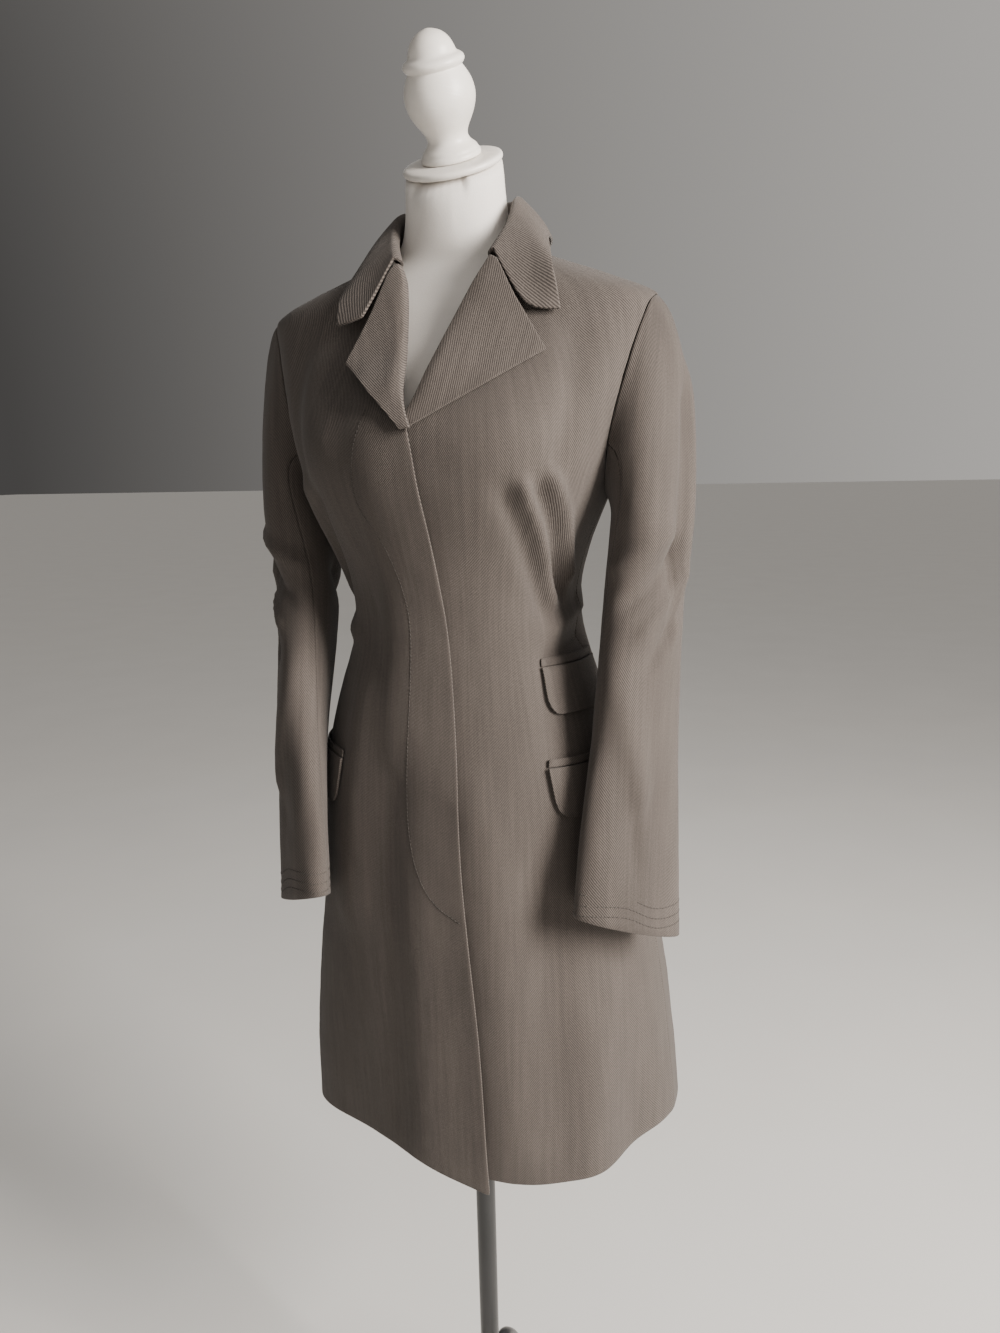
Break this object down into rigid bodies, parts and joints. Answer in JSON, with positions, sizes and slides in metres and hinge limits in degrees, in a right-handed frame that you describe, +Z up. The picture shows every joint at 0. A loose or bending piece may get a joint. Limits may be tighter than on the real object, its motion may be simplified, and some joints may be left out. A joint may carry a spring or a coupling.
{
  "type": "overcoat on dress form",
  "caption": "Slim knee-length overcoat with notched lapels, concealed front fastening and flap pockets, worn by a limbless dress form on a tripod stand.",
  "frame": {"origin": "on the floor under the middle of the part's bounding box", "axes": "+Z up, -Y towards the coat's front, +X towards the wearer's left"},
  "size_m": [0.5, 0.4414, 1.6513],
  "materials": {
    "wool_twill": "matte",
    "jersey": "matte",
    "painted_wood": "satin",
    "black_steel": "satin"
  },
  "bodies": {
    "root": {"front_left": "wool_twill", "front_right": "wool_twill", "back_left": "wool_twill", "back_right": "wool_twill", "fly_strip": "wool_twill", "lapel_left": "wool_twill", "lapel_right": "wool_twill", "collar": "wool_twill", "flap_ticket": "wool_twill", "flap_left": "wool_twill", "flap_right": "wool_twill", "welt_ticket": "wool_twill", "welt_left": "wool_twill", "welt_right": "wool_twill", "sleeve_top_left": "wool_twill", "sleeve_under_left": "wool_twill", "sleeve_top_right": "wool_twill", "sleeve_under_right": "wool_twill", "form_torso": "jersey", "neck_cap": "painted_wood", "finial": "painted_wood", "pole": "black_steel", "hub": "black_steel", "leg_1": "black_steel", "leg_2": "black_steel", "leg_3": "black_steel"}
  },
  "joints": []
}
